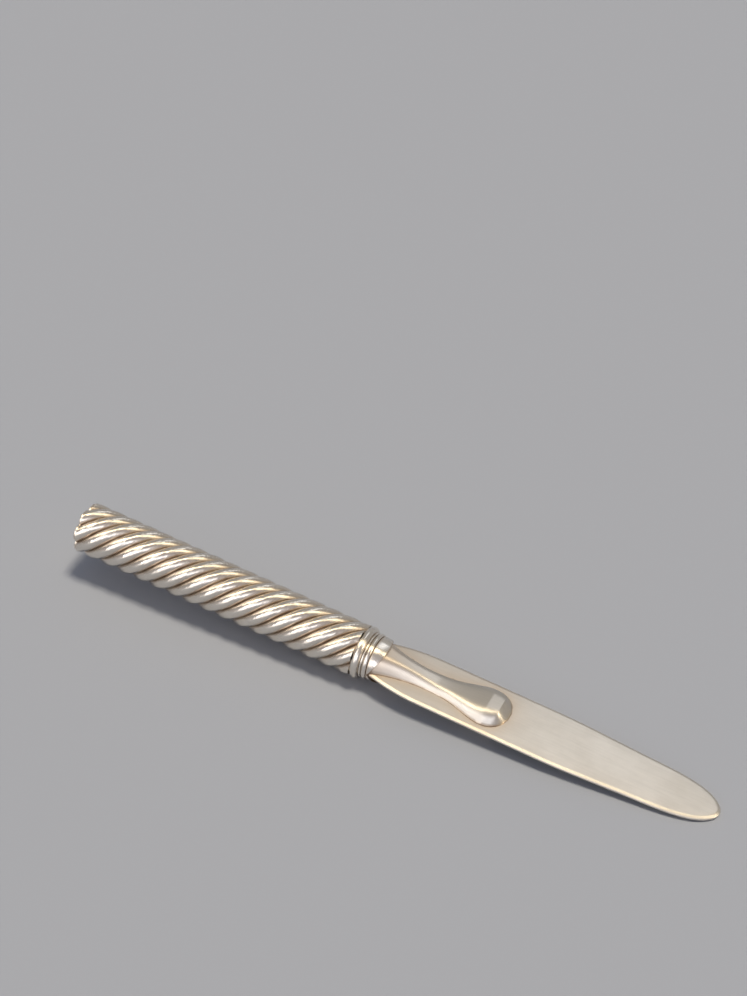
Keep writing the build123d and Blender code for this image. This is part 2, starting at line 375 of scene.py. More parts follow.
def fine_scratches():
    """Fine scratches: long thin lines along one direction and a few stray ones across it."""
    wiring, given, put = effect_group("fine_scratches", {"Fineness": 1.0}, ("Lines", "Strays"))
    line_waves = (60, 2600, 2600)
    line_coarseness = 0.35
    stray_waves = (90, 2400, 2400)
    stray_turns = (0.5, 1.3, 2.4)
    stray_start, stray_full = 0.66, 0.74
    coarser = wiring.math("MULTIPLY", given["Fineness"], line_coarseness)
    lines = wiring.noise(wiring.stretched(given["Vector"], line_waves), coarser, 3)
    wiring.feed(put["Lines"], lines)
    strays = 0.0
    for turn in stray_turns:
        turned = wiring.stretched(given["Vector"], stray_waves, turn)
        marks = wiring.ramp(wiring.noise(turned, given["Fineness"], 1), stray_start, stray_full)
        strays = wiring.math("MAXIMUM", strays, marks)
    wiring.feed(put["Strays"], strays)
    return wiring.tree


def tarnish_film():
    """Brown film that settles where a mask is high, broken up as if half polished away."""
    inputs = {"Recess": 0.0, "Start": 0.5, "Amount": 1.0}
    wiring, given, put = effect_group("tarnish_film", inputs, ("Film",))
    patch_scale = 420.0
    unevenness = 0.5
    full_depth = 1.05
    patches = wiring.noise(given["Vector"], patch_scale, 4)
    uneven = wiring.math("MULTIPLY_ADD", patches, unevenness, -unevenness / 2)
    film = wiring.ramp(wiring.math("ADD", given["Recess"], uneven), given["Start"], full_depth)
    wiring.feed(put["Film"], wiring.math("MULTIPLY", film, given["Amount"], clamp=True))
    return wiring.tree


def handling_marks():
    """Cloudy marks of fingers and old polish, and the roughness that they change."""
    inputs = {"Roughness": 0.2, "Spread": 0.1}
    wiring, given, put = effect_group("handling_marks", inputs, ("Roughness", "Clouds"))
    cloud_scale = 130.0
    clouds = wiring.noise(given["Vector"], cloud_scale, 5, 0.6)
    wiring.feed(put["Clouds"], clouds)
    swing = wiring.math("SUBTRACT", clouds, 0.5)
    wiring.feed(put["Roughness"], wiring.math("MULTIPLY_ADD", swing, given["Spread"], given["Roughness"]))
    return wiring.tree


# Materials

def blank_material(name):
    """A new material with its wiring and its shader."""
    material = bpy.data.materials.new(name)
    material.use_nodes = True
    return material, Wiring(material.node_tree), material.node_tree.nodes["Principled BSDF"]


def silver(
    name, roughness, spread, tarnish_start, tarnish_amount, line_height=0.0, stray_height=1e-6, shade=1.0
):
    """Silver with scratches and handling marks, darkened by a painted shade factor, toned and tarnished
    where the piece's masks are high.
    """
    fineness = 2.2
    dullness = 0.76
    line_contrast = 0.6
    straw_strength = 0.6
    film_roughness = 0.25
    stray_roughness = 0.03

    material, wiring, shader = blank_material(name)
    finish = sizes("finish")
    place = wiring.node("ShaderNodeTexCoord").outputs["Object"]
    recess = wiring.attribute("recess")
    toning_and_shade = wiring.attribute("toning_and_shade")
    marks = wiring.effect(handling_marks, {"Vector": place, "Roughness": roughness, "Spread": spread})
    settling = {"Vector": place, "Recess": recess, "Start": tarnish_start, "Amount": tarnish_amount}
    film = wiring.effect(tarnish_film, settling)["Film"]
    scratches = wiring.effect(fine_scratches, {"Vector": place, "Fineness": fineness})

    # The shade factor darkens the whole silver as painted shade, so pieces of one metal come out lighter or
    # darker
    bright = [part * shade for part in finish.silver]
    dulled = [part * dullness for part in bright]
    brushed = wiring.math("MULTIPLY_ADD", scratches["Lines"], line_contrast, -line_contrast / 2)
    worn = wiring.math("ADD", brushed, marks["Clouds"], clamp=True)
    clean = wiring.mix(worn, opaque(bright), opaque(dulled))
    # Straw tint where either mask is high: partly a toning film near joints and in grooves, partly painted
    # warm shade and reflection
    straw_share = wiring.math("MULTIPLY", wiring.math("MAXIMUM", toning_and_shade, recess), straw_strength)
    straw = wiring.mix(straw_share, clean, opaque(finish.toning_and_shade))
    wiring.feed(shader.inputs["Base Color"], wiring.mix(film, straw, opaque(finish.tarnish)))
    filmed = wiring.math("MULTIPLY_ADD", film, film_roughness, marks["Roughness"])
    scratched = wiring.math("MULTIPLY_ADD", scratches["Strays"], stray_roughness, filmed)
    wiring.feed(shader.inputs["Roughness"], scratched)
    shader.inputs["Metallic"].default_value = 1.0

    grooves = wiring.math("MULTIPLY", scratches["Strays"], -stray_height)
    relief = wiring.math("MULTIPLY_ADD", scratches["Lines"], line_height, grooves)
    wiring.feed(shader.inputs["Normal"], wiring.bump(relief))
    return material


def handle_silver():
    """Bright silver with dark brown grooves, and draw lines and worn patches that wind along the ribs."""
    material = silver("handle_silver", roughness=0.24, spread=0.12, tarnish_start=0.5, tarnish_amount=0.92)
    wiring = Wiring(material.node_tree)
    size = sizes("handle")
    rib_shift = 7.3

    def waves(along, across, height):
        """Uneven relief with so many waves along a rib and across half of it."""
        scales = {"rib_along": along, "rib_across": across, "rib_number": rib_shift}
        place = [wiring.math("MULTIPLY", wiring.attribute(name), scale) for name, scale in scales.items()]
        return wiring.math("MULTIPLY", wiring.noise(wiring.vector(*place), 1.0, 2), height)

    finer = material.node_tree.nodes["Bump"]
    both = wiring.math("ADD", waves(7.0, 3.2, size.streak_height), waves(75.0, 0.9, size.wear_height))
    open_ground = wiring.math("SUBTRACT", 1.0, wiring.attribute("recess"))
    wiring.feed(finer.inputs["Normal"], wiring.bump(wiring.math("MULTIPLY", both, open_ground)))
    return material


def collar_silver():
    """Bright silver with brown lines between the rings."""
    return silver("collar_silver", roughness=0.24, spread=0.1, tarnish_start=0.55, tarnish_amount=0.95)


def bolster_silver():
    """A duller polish, darkened as painted shade, with a thin dark line at the joint with the blade."""
    return silver(
        "bolster_silver", roughness=0.36, spread=0.08, tarnish_start=0.6, tarnish_amount=0.9,
        line_height=4e-7, stray_height=4e-7, shade=0.84
    )


def blade_silver():
    """Satin silver with fine lines along the blade, a little darkened as painted shade."""
    return silver(
        "blade_silver", roughness=0.4, spread=0.12, tarnish_start=0.55, tarnish_amount=0.6,
        line_height=1.2e-6, stray_height=4e-7, shade=0.96
    )


def cap_silver():
    """Polished silver of the butt cap."""
    return silver("cap_silver", roughness=0.28, spread=0.12, tarnish_start=0.7, tarnish_amount=0.6)


def cement_material():
    """Dull brown resin with darker grains."""
    grain_scale = 900.0
    grain_height = 0.0001
    material, wiring, shader = blank_material("cement_resin")
    base = sizes("finish").cement
    dark = [part * 0.5 for part in base]
    place = wiring.node("ShaderNodeTexCoord").outputs["Object"]
    grains = wiring.noise(place, grain_scale, 6)
    wiring.feed(shader.inputs["Base Color"], wiring.mix(grains, opaque(dark), opaque(base)))
    wiring.feed(shader.inputs["Roughness"], wiring.ramp(grains, 0.0, 1.0, 0.6, 0.9))
    wiring.feed(shader.inputs["Normal"], wiring.bump(grains, grain_height))
    return material


def floor_material():
    """Plain pale matt floor."""
    material, _, shader = blank_material("pale_floor")
    shader.inputs["Base Color"].default_value = opaque(sizes("finish").floor)
    shader.inputs["Roughness"].default_value = 0.9
    shader.inputs["Specular IOR Level"].default_value = 0.1
    return material


# Handle

def stored(wiring, geometry, name, value, domain="POINT"):
    """The geometry with a value kept on it under a name."""
    inputs = {"Geometry": geometry, "Name": name, "Value": value}
    return wiring.out("GeometryNodeStoreNamedAttribute", inputs, data_type="FLOAT", domain=domain)


def ribbed_tube_tree():
    """Geometry nodes for a tube of round ribs that wind round a hollow, with a wall of even thickness."""
    dent_scale = 330.0
    same_place = 1e-6
    tree = bpy.data.node_groups.new("ribbed_tube", "GeometryNodeTree")
    lengths = ("Back", "Length", "Lobe Centre", "Lobe Radius", "Dent Depth", "Wall")
    wanted = {
        "NodeSocketFloat": (*lengths, "Turns", "Lobe Half Angle"),
        "NodeSocketInt": ("Rib Count", "Steps Along", "Steps Across"),
        "NodeSocketMaterial": ("Material",),
    }
    for kind, labels in wanted.items():
        for label in labels:
            tree.interface.new_socket(label, in_out="INPUT", socket_type=kind)
    tree.interface.new_socket("Geometry", in_out="OUTPUT", socket_type="NodeSocketGeometry")
    wiring = Wiring(tree)
    given = wiring.node("NodeGroupInput").outputs

    # One rib: a strip from end to end, arched across, twisted round the axis
    steps = {"Vertices X": given["Steps Along"], "Vertices Y": given["Steps Across"]}
    strip = wiring.out("GeometryNodeMeshGrid", {"Size X": 1.0, "Size Y": 1.0, **steps})
    flat = wiring.split(wiring.out("GeometryNodeInputPosition"))
    along = wiring.math("ADD", flat["X"], 0.5)
    across = wiring.math("MULTIPLY", flat["Y"], 2.0)
    arch = wiring.math("MULTIPLY", across, given["Lobe Half Angle"])
    rise = wiring.math("COSINE", arch)
    outward = wiring.math("MULTIPLY_ADD", rise, given["Lobe Radius"], given["Lobe Centre"])
    aside = wiring.math("MULTIPLY", wiring.math("SINE", arch), given["Lobe Radius"])
    distance = wiring.math("MULTIPLY_ADD", along, given["Length"], given["Back"])
    arched = wiring.vector(distance, outward, wiring.math("MULTIPLY", aside, -1.0))
    turn = wiring.math("MULTIPLY", wiring.math("MULTIPLY", along, given["Turns"]), 2 * pi)
    twist = {"Vector": arched, "Angle": turn}
    twisted = wiring.out("ShaderNodeVectorRotate", twist, rotation_type="X_AXIS")
    recess = wiring.math("POWER", wiring.math("ABSOLUTE", across), 2.0)
    masked = stored(wiring, strip, "recess", recess)
    measured = stored(wiring, stored(wiring, masked, "rib_along", along), "rib_across", across)
    rib = wiring.out("GeometryNodeSetPosition", {"Geometry": measured, "Position": twisted})

    # All ribs, side by side round the axis
    starts = wiring.out("GeometryNodeMeshLine", {"Count": given["Rib Count"], "Offset": (0, 0, 0)})
    rib_number = wiring.out("GeometryNodeInputIndex")
    rib_turn = wiring.math("MULTIPLY", rib_number, wiring.math("DIVIDE", 2 * pi, given["Rib Count"]))
    facing = wiring.out("FunctionNodeEulerToRotation", {"Euler": wiring.vector(rib_turn)})
    layout = {"Points": starts, "Instance": rib, "Rotation": facing}
    ribs = wiring.out("GeometryNodeInstanceOnPoints", layout)
    numbered = stored(wiring, ribs, "rib_number", rib_number, "INSTANCE")
    loose = wiring.out("GeometryNodeRealizeInstances", {"Geometry": numbered})
    skin = wiring.out("GeometryNodeMergeByDistance", {"Geometry": loose, "Distance": same_place})

    # Shallow dents, pressed in towards the axis
    place = wiring.out("GeometryNodeInputPosition")
    parts = wiring.split(place)
    from_axis = wiring.vector(0.0, parts["Y"], parts["Z"])
    outwards = wiring.out("ShaderNodeVectorMath", {0: from_axis}, operation="NORMALIZE")
    dents = wiring.math("MULTIPLY", wiring.noise(place, dent_scale, 1.0), given["Dent Depth"])
    inwards = wiring.math("MULTIPLY", dents, -1.0)
    push = wiring.out("ShaderNodeVectorMath", {0: outwards, "Scale": inwards}, operation="SCALE")
    dented = wiring.out("GeometryNodeSetPosition", {"Geometry": skin, "Offset": push})

    # The sheet's thickness: an inner skin and closed ends
    depth = wiring.math("MULTIPLY", given["Wall"], -1.0)
    sheet = {"Mesh": dented, "Offset Scale": depth, "Individual": False}
    inner = wiring.out("GeometryNodeExtrudeMesh", sheet, mode="FACES")
    turned = wiring.out("GeometryNodeFlipFaces", {"Mesh": inner})
    both = wiring.node("GeometryNodeJoinGeometry")
    for skin_side in (dented, turned):
        tree.links.new(skin_side, both.inputs[0])
    closing = {"Geometry": both.outputs[0], "Distance": same_place}
    shell = wiring.out("GeometryNodeMergeByDistance", closing)
    real = wiring.out("GeometryNodeRealizeInstances", {"Geometry": shell})
    coated = wiring.out("GeometryNodeSetMaterial", {"Geometry": real, "Material": given["Material"]})
    wiring.node("NodeGroupOutput", {"Geometry": coated})
    return tree


def mesh_from_tree(name, tree, values):
    """Runs a geometry tree with values for its named inputs and keeps the result as a plain mesh."""
    holder = new_object(name + "_holder", bpy.data.meshes.new(name + "_start"))
    modifier = holder.modifiers.new(name, "NODES")
    modifier.node_group = tree
    for item in tree.interface.items_tree:
        if item.in_out == "INPUT" and item.name in values:
            modifier[item.identifier] = values[item.name]
    depsgraph = bpy.context.evaluated_depsgraph_get()
    mesh = bpy.data.meshes.new_from_object(
        holder.evaluated_get(depsgraph), preserve_all_data_layers=True, depsgraph=depsgraph
    )
    mesh.name = name
    bpy.data.objects.remove(holder)
    return mesh


def lobe(crest, depth, count):
    """Centre, radius and half angle of the arc that one rib's section follows."""
    groove = crest - depth
    side = groove * sin(pi / count)
    base = groove * cos(pi / count)
    centre = (crest**2 - base**2 - side**2) / (2 * (crest - base))
    radius = crest - centre
    return centre, radius, atan2(side, base - centre)


class MakeHandle(Operator):
    """Makes the twisted, ribbed tube of the handle"""

    bl_idname = "opener.make_handle"
    bl_label = "Handle"

    def execute(self, context):
        size = sizes("handle")
        low, high = own_box("handle_tube")
        centre, radius, half_angle = lobe(high.y, size.rib_depth, size.rib_count)
        lead = size.rib_count * size.rib_pitch
        material = handle_silver()
        mesh = mesh_from_tree(
            "twisted_handle",
            ribbed_tube_tree(),
            {
                "Back": low.x,
                "Length": high.x - low.x,
                "Turns": -(high.x - low.x) / lead,
                "Rib Count": size.rib_count,
                "Lobe Centre": centre,
                "Lobe Radius": radius,
                "Lobe Half Angle": half_angle,
                "Dent Depth": size.dent_depth,
                "Wall": size.wall,
                "Steps Along": 240,
                "Steps Across": 18,
                "Material": material,
            },
        )
        finished_piece("twisted_handle", mesh, material, "handle_silver", "handle_tube")
        return {"FINISHED"}


def ribbed_rim(crest, depth, count, steps):
    """Points round the ends of the ribs, as (y, z) pairs, where the crests are at radius one."""
    centre, radius, half_angle = lobe(crest, depth, count)
    rim = []
    for rib in range(count):
        turn = 2 * pi * rib / count
        for step in range(steps):
            arch = half_angle * (2 * step / steps - 1)
            out = (centre + radius * cos(arch)) / crest
            aside = radius * sin(arch) / crest
            rim.append((out * cos(turn) - aside * sin(turn), out * sin(turn) + aside * cos(turn)))
    return rim


class MakeButtCap(Operator):
    """Makes the flat disc, filed to the ribs, that closes the free end of the handle"""

    bl_idname = "opener.make_butt_cap"
    bl_label = "Butt cap"

    def execute(self, context):
        low, high = own_box("butt_cap")
        size = sizes("handle")
        rounding = size.cap_round
        crest = high.y
        round_steps = 8
        rib_steps = 24
        outline = [(low.x, 0.0)]
        for step in range(round_steps + 1):
            bend = pi / 2 * step / round_steps
            outline.append((low.x + rounding * (1 - cos(bend)), crest - rounding * (1 - sin(bend))))
        outline += [(high.x, crest), (high.x, 0.0)]
        mesh = lathe("butt_disc", outline, ribbed_rim(crest, size.rib_depth, size.rib_count, rib_steps))
        add_mask(mesh, "recess", lambda place: (place.x - low.x) / (high.x - low.x))
        finished_piece("butt_disc", mesh, cap_silver(), "cap_silver", "butt_cap")
        return {"FINISHED"}


# Collar

def ring_outline(back, front, bore, top, corner):
    """Half round section of a ring, flat on the sleeve."""
    middle = (back + front) / 2
    half_width = (front - back) / 2
    spring = max(top - half_width, bore + corner)
    rise = top - spring
    steps = 28
    arch = []
    for step in range(steps + 1):
        bend = pi * step / steps
        arch.append((middle - half_width * cos(bend), spring + rise * sin(bend)))
    return [(back, bore)] + arch + [(front, bore)]


def mouth_joint():
    """The inclined joint of the mouth's lips with the bosses: its foot, its height there and its climb."""
    root = root_place()[0]
    face = own_box("blade")[1].z
    climb = (sizes("collar").mouth_edge - face) / (own_box("mouth_plate")[1].x - root)
    return root, face, climb


def gap_to_joint(joint, place):
    """Distance from a place to the inclined joint, positive in front of it."""
    root, face, climb = joint
    return (face + climb * (place.x - root) - abs(place.z)) / hypot(1, climb)


def mouth_mesh(joint):
    """The collar's domed mouth: a lip over each boss, and between them the flat behind the blade."""
    size = sizes("collar")
    low, high = own_box("mouth_plate")
    root, face, climb = joint
    steps = 240
    rows = 24
    halvings = 40

    def dome(x):
        share = (x - low.x) / (high.x - low.x)
        return high.y + (size.mouth_edge - high.y) * share + 4 * size.mouth_bulge * share * (1 - share)

    def lip_edge(lift):
        """Where the dome meets the joint; lift is the sine of the angle round the axis."""
        near, far = root, high.x
        for _ in range(halvings):
            middle = (near + far) / 2
            if dome(middle) * lift > face + climb * (middle - root):
                near = middle
            else:
                far = middle
        return near

    points = []
    for y, z in round_rim(steps):
        edge = lip_edge(abs(z))
        for row in range(rows + 1):
            x = low.x + (edge - low.x) * row / rows
            points.append((x, dome(x) * y, dome(x) * z))
        _, rim_y, rim_z = points[-1]
        points.append((root, rim_y, max(-face, min(face, rim_z))))
    count = rows + 2
    faces = strip_faces(steps, count, ring=False, loop=True)
    for end in (0, count - 1):
        faces.append(tuple(step * count + end for step in range(steps)))
    return mesh_from("domed_mouth", points, faces)


class MakeCollar(Operator):
    """Makes the collar: three rings and the domed mouth, and finishes the pieces under them"""

    bl_idname = "opener.make_collar"
    bl_label = "Collar"

    def execute(self, context):
        size = sizes("collar")
        material = collar_silver()
        rings = (("rear_bead", "thick_bead"), ("reed_ring", "fine_ring"), ("front_bead", "small_bead"))
        ring_steps = 200
        for node, name in rings:
            low, high = own_box(node)
            outline = ring_outline(low.x, high.x, size.bead_bore, high.y, size.ring_corner)
            mesh = lathe(name, outline, round_rim(ring_steps))
            height = high.y - size.bead_bore
            add_mask(mesh, "recess", lambda place: (high.y - hypot(place.y, place.z)) / height)
            finished_piece(name, mesh, material, "collar_silver", node)
        joint = mouth_joint()
        mouth = mouth_mesh(joint)
        back = own_box("mouth_plate")[0].x
        bead_line = 0.0005
        lip_line = 0.0003

        def near_lines(place):
            return max(1 - (place.x - back) / bead_line, 1 + gap_to_joint(joint, place) / lip_line)

        add_mask(mouth, "recess", near_lines)
        finished_piece("domed_mouth", mouth, material, "collar_silver", "mouth_plate")
        frame["nodes"]["collar_sleeve"].material_slots[0].material = material
        frame["nodes"]["cement_plug"].material_slots[0].material = cement_material()
        return {"FINISHED"}


# Blade

def blade_side():
    """Half of the blade's outline, from the collar to the tip, as (x, half width) points."""
    size = sizes("blade")
    tip, half = own_box("blade")[1].xy
    shoulder_steps, body_steps, nose_steps = 40, 70, 45
    shoulder = root_place()
    full = (shoulder[0] + size.shoulder_length, half)
    taper_start = (tip - size.taper_length, half)
    nose_points = [
        taper_start,
        (tip - size.taper_middle, size.taper_width / 2),
        (tip - size.nose_start, size.nose_width / 2),
        (tip - size.nose_bend, size.nose_bend_width / 2),
        (tip, 0.0),
    ]
    outward = (size.shoulder_length / 2, half - shoulder[1])
    along = (1.0, 0.0)
    across = (0.0, -1.0)
    side = clamped_spline([shoulder, full], outward, along, shoulder_steps)
    side += clamped_spline([full, taper_start], along, along, body_steps)
    side += clamped_spline(nose_points, along, across, nose_steps)
    return side + [(tip, 0.0)]


def side_normals(side):
    """Outward directions across the blade's outline."""
    normals = []
    for i in range(len(side)):
        before = side[max(0, i - 1)]
        after = side[min(len(side) - 1, i + 1)]
        run = (after[0] - before[0], after[1] - before[1])
        size = hypot(*run)
        normals.append((-run[1] / size, run[0] / size))
    normals[-1] = (1.0, 0.0)
    return normals


def edge_profile(fall):
    """Inset from the outline and height over the middle plane, from the very edge to the crowned face."""
    size = sizes("blade")
    half = own_box("blade")[1].z - fall
    edge = size.edge_thickness / 2
    bevel = size.bevel_width
    soft = 0.22 * bevel
    climb = (half - edge) / bevel
    profile = [(0.0, 0.0), (0.0, 0.5 * edge), (0.02 * bevel, 0.8 * edge)]
    profile.append((0.08 * bevel, edge + 0.05 * bevel * climb))
    profile += [(bevel * part, edge + bevel * part * climb) for part in (0.2, 0.4, 0.6, 0.72)]
    for part in (0.25, 0.5, 0.75, 1.0):
        drop = climb * soft * (1 - part) ** 2
        profile.append((bevel - soft + 2 * soft * part, half - drop))
    return profile


def tang_block(first):
    """Points and faces of the tang, which narrows to its square end; first is its first point's number."""
    size = sizes("blade")
    back = own_box("blade")[0].x
    half = own_box("blade")[1].z
    root = root_place()[0]
    points = []
    for x, width in ((back, size.tang_width / 2 - size.tang_taper), (root, size.tang_width / 2)):
        points += [(x, width, half), (x, -width, half), (x, -width, -half), (x, width, -half)]
    faces = [(0, 1, 2, 3), (4, 5, 6, 7)] + strip_faces(2, 4)
    return points, [tuple(first + corner for corner in face) for face in faces]


def blade_mesh():
    """The flat blade with its soft bevels and round nose, and the tang that enters the handle."""
    side = blade_side()
    half_width, half = own_box("blade")[1].yz
    columns = 24
    points = []
    # Across the blade: up one edge, over the upper face and down the other edge, then mirrored below
    for (out_x, out_y), (normal_x, normal_y) in zip(side, side_normals(side)):
        fall = sizes("blade").crown * out_y / half_width
        rise = []
        for inset, z in edge_profile(fall):
            rise.append((out_x - inset * normal_x, max(0.0, out_y - inset * normal_y), z))
        x, y, _ = rise.pop()
        upper = []
        for column in range(columns + 1):
            share = 1 - 2 * column / columns
            upper.append((x, y * share, half - fall * abs(share) ** 3))
        ring = rise + upper + [(px, -py, pz) for px, py, pz in reversed(rise)]
        below = [(px, py, -pz) for px, py, pz in reversed(ring[1:-1])]
        points += ring + below
    count = len(points) // len(side)
    faces = strip_faces(len(side), count) + [tuple(range(count))]
    tang_points, tang_faces = tang_block(len(points))
    return mesh_from("flat_blade", points + tang_points, faces + tang_faces)


def foot_gap(place, feet):
    """Distance from a place on the blade to the nearest point of the boss's foot, as seen from above."""
    return min(hypot(place.x - foot_x, abs(place.y) - foot_y) for foot_x, foot_y in feet)


class MakeBlade(Operator):
    """Makes the flat, round nosed blade"""

    bl_idname = "opener.make_blade"
    bl_label = "Blade"

    def execute(self, context):
        mesh = blade_mesh()
        feet = [(station.x, station.width) for station in bolster_stations()]
        dark_halo = 0.0003
        # The wide straw halo round the boss's foot is partly toning and partly painted warm shade on the
        # blade
        straw_halo = 0.0018
        add_mask(mesh, "recess", lambda place: exp(-foot_gap(place, feet) / dark_halo))
        add_mask(mesh, "toning_and_shade", lambda place: exp(-foot_gap(place, feet) / straw_halo))
        finished_piece("flat_blade", mesh, blade_silver(), "blade_silver", "blade")
        return {"FINISHED"}


# Bolsters

def root_place():
    """Where the blade and the bosses leave the collar: the place along the opener and their half width."""
    low, high = own_box("mouth_plate")
    return low.x + sizes("collar").plate, high.y - sizes("bolster").root_inset


class Station:
    """One cross section of the boss, at a distance from the collar."""

    def __init__(self, root, root_width, root_height, distance):
        size = sizes("bolster")
        flare_at = size.reach - size.nose_length
        closing = max(0.0, distance - flare_at) / size.nose_length
        closed = max(0.0, 1 - closing**size.nose_round) ** (1 / size.nose_round)
        left = max(0.0, 1 - distance / size.waist_from_root)
        self.x = root + distance
        self.width = closed * self.plan(size, root_width, distance, flare_at)
        self.height = self.crest(size, root_height, distance)
        self.inset = self.height * (size.flank_lean + (size.root_lean - size.flank_lean) * left)
        if left > 0:
            self.roundness = size.waist_round + (size.root_round - size.waist_round) * left
        else:
            ahead = max(0.0, (flare_at - distance) / (flare_at - size.waist_from_root))
            self.roundness = size.lip_round + (size.waist_round - size.lip_round) * ahead**2

    def plan(self, size, root_width, distance, flare_at):
        """Half width: from the root to the waist, and on to the flare."""
        waist = size.waist_width / 2
        if distance <= size.waist_from_root:
            return waist + (root_width - waist) * (1 - distance / size.waist_from_root) ** 2
        widening = min(1.0, (distance - size.waist_from_root) / (flare_at - size.waist_from_root))
        return waist + (size.flare_width / 2 - waist) * widening**3 * (4 - 3 * widening)

    def crest(self, size, root_height, distance):
        """Height over the blade: from the root to the dip, up to the level lip and down its front."""
        front_at = size.reach - size.front_length
        dip_at = front_at - size.lip_length - size.lip_rise_length
        if distance > front_at:
            left = max(0.0, (size.reach - distance) / size.front_length)
            return size.lip_height * left**size.front_fall
        if distance <= dip_at:
            falling = (1 - distance / dip_at) ** size.crest_fall
            return size.dip_height + (root_height - size.dip_height) * falling
        rising = min(1.0, (distance - dip_at) / size.lip_rise_length)
        lift = rising**2 * (1.5 - 0.5 * rising)
        return size.dip_height + (size.lip_height - size.dip_height) * lift

    def outline(self, steps):
        """Half width and height from one foot over the crest to the other foot."""
        points = []
        for step in range(steps + 1):
            bend = pi * step / steps
            up = max(0.0, sin(bend)) ** (2 / self.roundness)
            level = (self.width - self.inset) * abs(cos(bend)) ** (2 / self.roundness)
            out = level + self.inset * (1 - up)
            points.append((out if step * 2 < steps else -out, self.height * up))
        return points


def bolster_stations():
    """Cross sections from the collar to the end of the nose."""
    size = sizes("bolster")
    root, root_width = root_place()
    root_height = root_width - size.root_drop - own_box("blade")[1].z
    flare_at = size.reach - size.nose_length
    body_steps = 80
    nose_steps = 40
    distances = [flare_at * step / body_steps for step in range(body_steps)]
    for step in range(nose_steps + 1):
        distances.append(flare_at + size.nose_length * sin(pi / 2 * step / nose_steps))
    return [Station(root, root_width, root_height, distance) for distance in distances]


def bolster_mesh(name, side):
    """The boss on one face of the blade, 1 above and -1 below, with a skirt that sinks into the bevel."""
    face = own_box("blade")[1].z
    skirt = sizes("blade").edge_thickness / 2
    arch_steps = 56
    points = []
    stations = bolster_stations()
    for station in stations:
        arch = station.outline(arch_steps)
        first, last = arch[0][0], arch[-1][0]
        points.append((station.x, first, side * skirt))
        points += [(station.x, y, side * (face + z)) for y, z in arch]
        points.append((station.x, last, side * skirt))
    count = len(points) // len(stations)
    faces = strip_faces(len(stations), count) + [tuple(range(count))]
    return mesh_from(name, points, faces)


class MakeBolsters(Operator):
    """Makes the waisted bosses on both faces of the blade"""

    bl_idname = "opener.make_bolsters"
    bl_label = "Bolsters"

    def execute(self, context):
        material = bolster_silver()
        face = own_box("blade")[1].z
        foot_line = 0.0003
        mouth_line = 0.0004
        straw_halo = 0.004
        joint = mouth_joint()

        def near_joints(place):
            return max(1 - (abs(place.z) - face) / foot_line, 1 - gap_to_joint(joint, place) / mouth_line)

        # Straw toning near the collar's mouth, partly a film and partly painted shade that darkens the root
        # of the crest
        def near_mouth(place):
            return exp(-max(0.0, gap_to_joint(joint, place)) / straw_halo)

        for node, name, side in (("bolster_upper", "upper_boss", 1), ("bolster_lower", "lower_boss", -1)):
            mesh = bolster_mesh(name, side)
            add_mask(mesh, "recess", near_joints)
            add_mask(mesh, "toning_and_shade", near_mouth)
            finished_piece(name, mesh, material, "bolster_silver", node)
        return {"FINISHED"}


# Stage

def add_lamp(name, kind, place, aim, power, tint):
    """A lamp at one place that points at another."""
    data = bpy.data.lights.new(name, kind)
    data.energy = power * sizes("stage").lamp_level
    data.color = tint
    lamp = new_object(name, data)
    lamp.location = place
    lamp.rotation_euler = (Vector(aim) - Vector(place)).to_track_quat("-Z", "Y").to_euler()
    return lamp


def add_key(place, spread, power, tint):
    """Even soft light from one direction, which the silver doesn't mirror."""
    lamp = add_lamp("key", "SUN", place, (0, 0, 0), power, tint)
    lamp.data.angle = spread
    lamp.visible_glossy = False


def add_panel(name, place, extent, power, tint):
    """A soft box that the silver mirrors, and that leaves the floor to the key."""
    opener_middle = (0.0, 0.0, 0.008)
    lamp = add_lamp(name, "AREA", place, opener_middle, power, tint)
    lamp.data.shape = "RECTANGLE"
    lamp.data.size, lamp.data.size_y = extent
    lamp.visible_diffuse = False


def soft_world():
    """Dim even room light on the floor; polished silver mirrors a pale room, palest at the near side."""
    ambient = (0.26, 0.285, 0.36)
    far_end = (0.4, 0.39, 0.38)
    overhead = (0.27, 0.25, 0.23)
    near_wall = (0.44, 0.41, 0.42)
    near_end = (0.62, 0.58, 0.62)

    world = bpy.data.worlds.new("soft_room")
    world.use_nodes = True
    wiring = Wiring(world.node_tree)
    backdrop = world.node_tree.nodes["Background"]
    direction = wiring.node("ShaderNodeTexCoord").outputs["Generated"]
    nearness = wiring.math("MULTIPLY_ADD", wiring.split(direction)["Y"], -0.5, 0.5)
    room = wiring.node("ShaderNodeValToRGB", {"Fac": nearness})
    stops = room.color_ramp.elements
    stops[0].color = opaque(far_end)
    stops[1].color = opaque(near_end)
    for place, shade in ((0.5, overhead), (0.8, near_wall)):
        stops.new(place).color = opaque(shade)
    rays = wiring.node("ShaderNodeLightPath").outputs
    mirrored = wiring.math("MAXIMUM", rays["Is Glossy Ray"], rays["Is Transmission Ray"])
    seen = wiring.math("MAXIMUM", rays["Is Camera Ray"], mirrored)
    wiring.feed(backdrop.inputs["Color"], wiring.mix(seen, opaque(ambient), room.outputs[0]))
    backdrop.inputs["Strength"].default_value = 1.0
    bpy.context.scene.world = world


